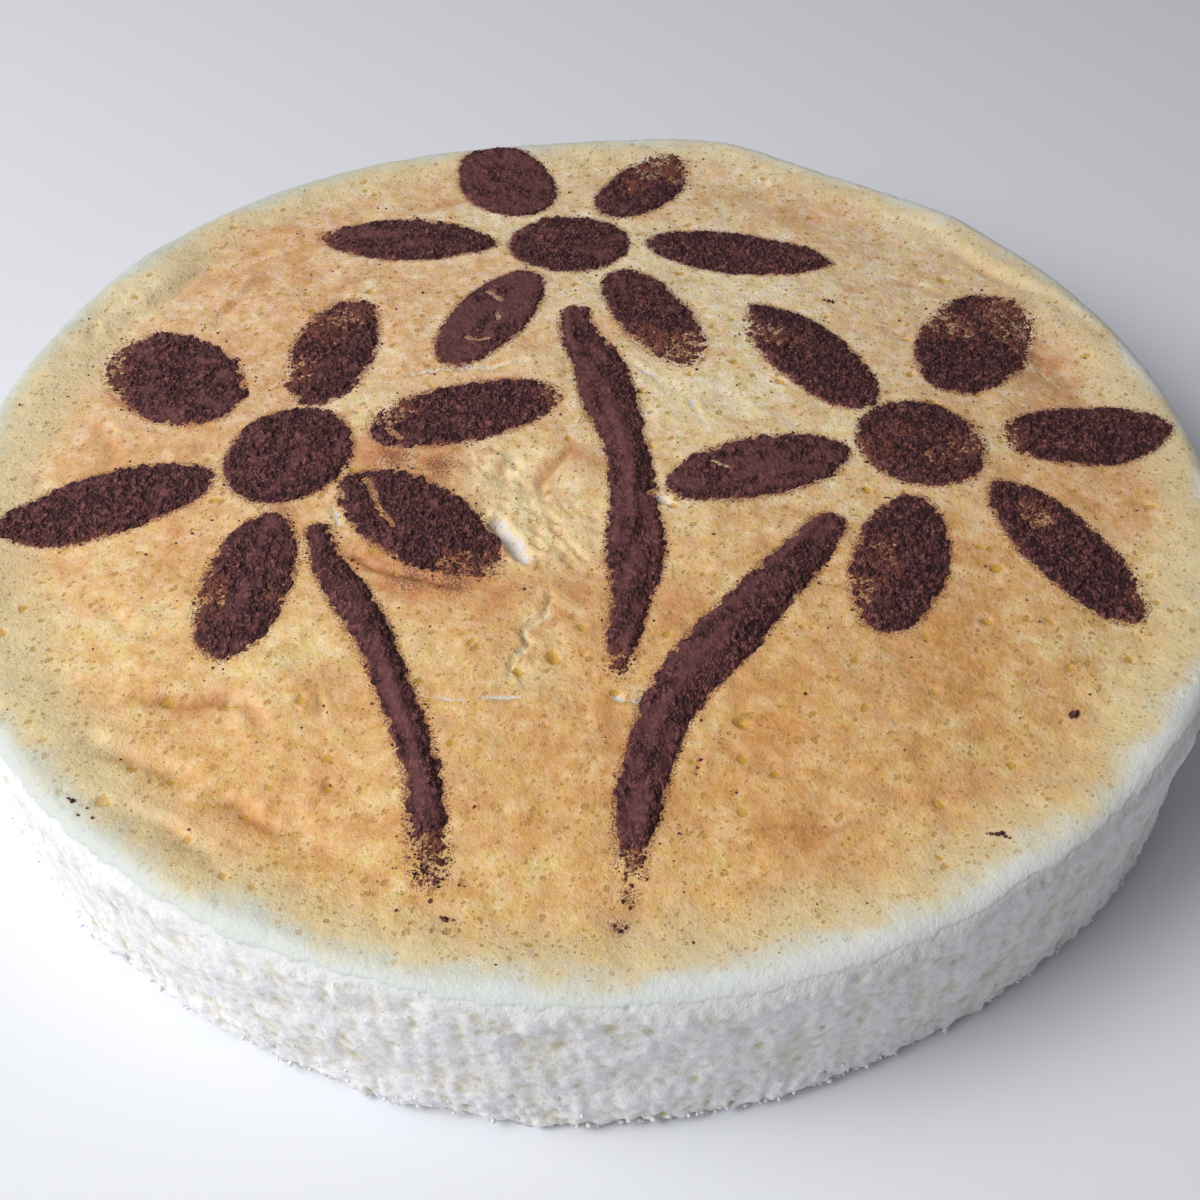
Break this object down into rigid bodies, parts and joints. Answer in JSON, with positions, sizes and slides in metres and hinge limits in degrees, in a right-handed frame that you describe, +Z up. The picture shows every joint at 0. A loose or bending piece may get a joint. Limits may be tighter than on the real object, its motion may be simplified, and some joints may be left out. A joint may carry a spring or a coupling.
{
  "type": "cloud cake",
  "caption": "Whole round cloud cake: soft pale sponge sides, a thin golden crust with a rounded lip, and daisies with stems dusted in cocoa powder on top.",
  "frame": {"origin": "centre of the flat underside, the middle of the bounding box's bottom face", "axes": "+Z up, out of the crust; -Y towards the front, where the cocoa stems end; +X to the right seen from the front"},
  "size_m": [0.2618, 0.262, 0.0478],
  "materials": {
    "sponge": "thin golden crust on top, pale porous sponge at the side, soft and dull",
    "cocoa": "dark brown powder, granular and dull"
  },
  "bodies": {
    "root": {"cake_body": "sponge", "cocoa_top_centre": "cocoa", "cocoa_top_petal_1": "cocoa", "cocoa_top_petal_2": "cocoa", "cocoa_top_petal_3": "cocoa", "cocoa_top_petal_4": "cocoa", "cocoa_top_petal_5": "cocoa", "cocoa_top_petal_6": "cocoa", "cocoa_top_stem": "cocoa", "cocoa_left_centre": "cocoa", "cocoa_left_petal_1": "cocoa", "cocoa_left_petal_2": "cocoa", "cocoa_left_petal_3": "cocoa", "cocoa_left_petal_4": "cocoa", "cocoa_left_petal_5": "cocoa", "cocoa_left_petal_6": "cocoa", "cocoa_left_stem": "cocoa", "cocoa_right_centre": "cocoa", "cocoa_right_petal_1": "cocoa", "cocoa_right_petal_2": "cocoa", "cocoa_right_petal_3": "cocoa", "cocoa_right_petal_4": "cocoa", "cocoa_right_petal_5": "cocoa", "cocoa_right_petal_6": "cocoa", "cocoa_right_stem": "cocoa"}
  },
  "joints": []
}
